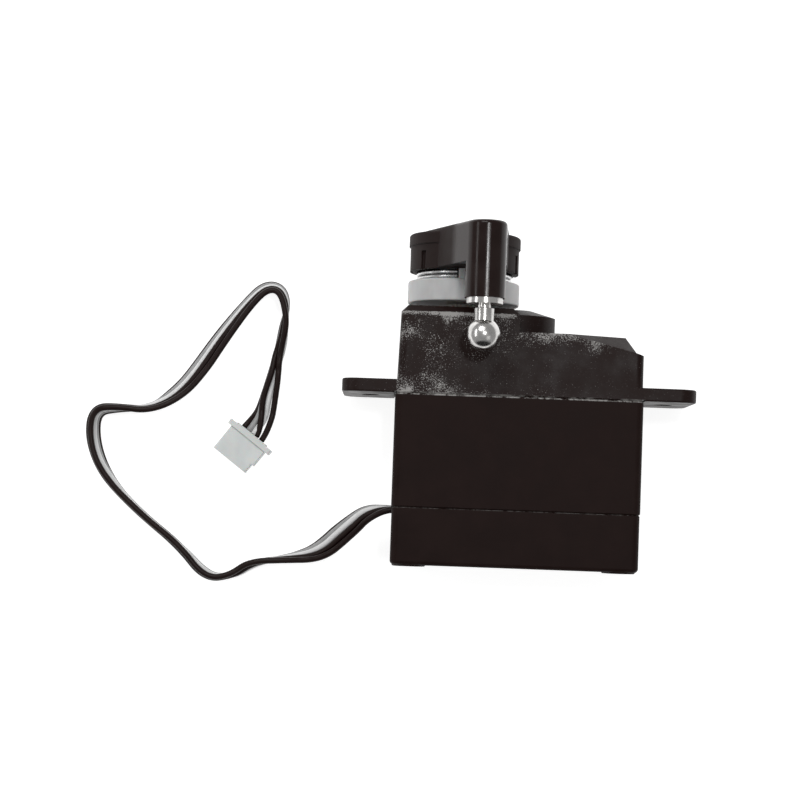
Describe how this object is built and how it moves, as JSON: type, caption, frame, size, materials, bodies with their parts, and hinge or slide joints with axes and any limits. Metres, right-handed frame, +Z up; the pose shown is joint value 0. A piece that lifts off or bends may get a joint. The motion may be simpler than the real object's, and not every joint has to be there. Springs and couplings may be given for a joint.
{
  "type": "servo motor",
  "caption": "Small geared servo motor with two mounting tabs, spring servo saver, ball-stud arm and flat plugged lead, lying on its side.",
  "frame": {"origin": "midway between the two tab holes, on the underside of the tabs and at mid-depth of the case", "axes": "+X along the case towards the motor end, +Y along the output shaft away from the case bottom, +Z up from the table that the servo lies on"},
  "size_m": [0.0737, 0.0434, 0.0214],
  "materials": {
    "case_plastic": "moulded black, fine texture",
    "horn_plastic": "moulded black, smoother than the case",
    "hub_nylon": "natural white nylon",
    "gear_nylon": "natural nylon",
    "spring_steel": "drawn spring wire",
    "stud_steel": "turned and polished steel",
    "screw_steel": "blackened steel",
    "axle_steel": "ground steel",
    "brass": "turned brass",
    "magnet": "sintered ferrite",
    "winding": "enamelled copper",
    "bell_plastic": "moulded natural plastic",
    "track_board": "phenolic board with a printed carbon track",
    "lead_sleeve": "dark wire insulation, with one grey and one white wire",
    "plug_nylon": "white nylon",
    "contact_tin": "tinned crimp contacts"
  },
  "bodies": {
    "case": {"upper_case": "case_plastic", "middle_case": "case_plastic", "bottom_cover": "case_plastic", "case_screws": "screw_steel", "gear_axle": "axle_steel", "shaft_bush": "brass", "motor_can": "axle_steel", "motor_magnets": "magnet", "motor_end_bell": "bell_plastic", "motor_bushes": "brass", "motor_brushes": "brass", "motor_terminals": "brass", "sensor_body": "bell_plastic", "sensor_track": "track_board", "sensor_pins": "brass", "motor_leads": "lead_sleeve", "sensor_leads": "lead_sleeve", "ribbon_cable": "lead_sleeve", "plug_housing": "plug_nylon", "plug_contacts": "contact_tin"},
    "output": {"output_gear": "gear_nylon", "saver_hub": "hub_nylon", "saver_springs": "spring_steel", "horn_washer": "screw_steel", "horn_screw": "screw_steel", "sensor_disc": "gear_nylon", "sensor_wiper": "brass"},
    "arm": {"saver_arm": "horn_plastic", "ball_stud": "stud_steel"},
    "gear_1": {"gear_1": "gear_nylon"},
    "gear_2": {"gear_2": "gear_nylon"},
    "gear_3": {"gear_3": "gear_nylon"},
    "rotor": {"motor_shaft": "axle_steel", "motor_pinion": "brass", "rotor_core": "axle_steel", "rotor_windings": "winding", "commutator": "brass"}
  },
  "joints": [
    {"name": "output_turn", "type": "hinge", "parent": "case", "child": "output", "pos_m": [-0.00693, 0, 0], "axis": [0, 1, 0], "range_deg": [-40, 20]},
    {"name": "saver_deflect", "type": "hinge", "parent": "output", "child": "arm", "pos_m": [-0.00693, 0, 0], "axis": [0, 1, 0], "range_deg": [-12, 12], "stiffness_Nm_per_rad": 0.03, "deforming": ["saver_springs"]},
    {"name": "gear_3_spin", "type": "hinge", "parent": "case", "child": "gear_3", "pos_m": [-0.00018, 0, 0], "axis": [0, 1, 0], "range_deg": [-60, 112]},
    {"name": "gear_2_spin", "type": "hinge", "parent": "case", "child": "gear_2", "pos_m": [-0.00693, 0, 0], "axis": [0, 1, 0], "range_deg": [-372, 190]},
    {"name": "gear_1_spin", "type": "hinge", "parent": "case", "child": "gear_1", "pos_m": [-0.00018, 0, 0], "axis": [0, 1, 0], "range_deg": [-719.5, 1430.9]},
    {"name": "rotor_spin", "type": "hinge", "parent": "case", "child": "rotor", "pos_m": [0.00642, 0, 0], "axis": [0, 1, 0], "range_deg": [-6411.1, 3209.5]}
  ],
  "couplings": [
    {"joint": "gear_3_spin", "follows": "output_turn", "ratio": -2.6},
    {"joint": "gear_2_spin", "follows": "output_turn", "ratio": 9.1},
    {"joint": "gear_1_spin", "follows": "output_turn", "ratio": -35.573},
    {"joint": "rotor_spin", "follows": "output_turn", "ratio": 160.08}
  ]
}
